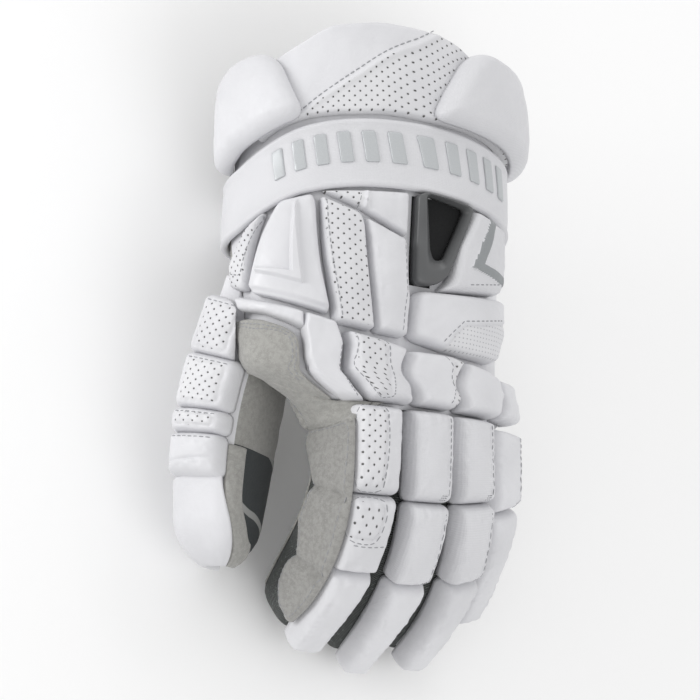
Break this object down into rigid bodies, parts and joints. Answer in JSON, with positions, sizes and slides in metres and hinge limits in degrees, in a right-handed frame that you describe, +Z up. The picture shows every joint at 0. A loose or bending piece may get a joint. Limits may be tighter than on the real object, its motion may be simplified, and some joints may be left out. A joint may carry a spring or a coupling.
{
  "type": "lacrosse glove",
  "caption": "Padded left-hand lacrosse glove with segmented finger and thumb pads, flared cuff wings, wrist strap, grey suede saddle and a vented back.",
  "frame": {"origin": "centre of the glove's outline on the surface that it lies on", "axes": "+Z up from the palm to the back of the hand, +Y from the fingertips to the cuff, -X to the thumb side"},
  "size_m": [0.1792, 0.3002, 0.1068],
  "materials": {
    "white_leather": "smooth full-grain synthetic leather over foam",
    "perforated_leather": "white leather punched in staggered rows",
    "textured_leather": "white leather with a fine embossed weave",
    "moulded_foam": "white leather skin moulded over firm foam",
    "suede": "warm light grey suede, napped",
    "mesh_fabric": "dark grey ribbed knit",
    "thumb_leather": "grey suede with a dark printed grip",
    "palm_leather": "grey synthetic suede palm",
    "grey_plastic": "moulded, satin",
    "silver_accent": "raised silver-grey transfer film",
    "thread": "twisted polyester sewing thread",
    "lining": "dark knitted lining"
  },
  "bodies": {
    "root": {"index_sleeve": "mesh_fabric", "index_pad_2": "perforated_leather", "index_pad_3": "white_leather", "index_pad_4": "white_leather", "middle_sleeve": "mesh_fabric", "middle_pad_2": "textured_leather", "middle_pad_3": "textured_leather", "middle_pad_4": "white_leather", "ring_sleeve": "mesh_fabric", "ring_pad_2": "white_leather", "ring_pad_3": "white_leather", "ring_pad_4": "white_leather", "little_sleeve": "mesh_fabric", "little_pad_2": "white_leather", "little_pad_3": "white_leather", "hand_back_liner": "lining", "palm_panel": "palm_leather", "thumb_sleeve": "thumb_leather", "thumb_pad_1": "perforated_leather", "thumb_pad_2": "perforated_leather", "thumb_pad_3": "perforated_leather", "thumb_pad_4": "white_leather", "thumb_cap": "white_leather", "thumb_band": "suede", "side_panel": "perforated_leather", "wrist_plate": "moulded_foam", "back_panel_a": "perforated_leather", "back_strip_b": "white_leather", "upper_panel_c": "white_leather", "outer_roll": "textured_leather", "outer_block": "textured_leather", "saddle_plate": "moulded_foam", "saddle_bar": "moulded_foam", "saddle_patch": "suede", "index_pad_1": "perforated_leather", "middle_pad_1": "white_leather", "ring_pad_1": "white_leather", "little_pad_1": "white_leather", "cuff_panel": "white_leather", "left_wing": "white_leather", "right_wing": "textured_leather", "vent_frame": "grey_plastic", "index_side_panel": "suede", "strap": "textured_leather"}
  },
  "joints": []
}
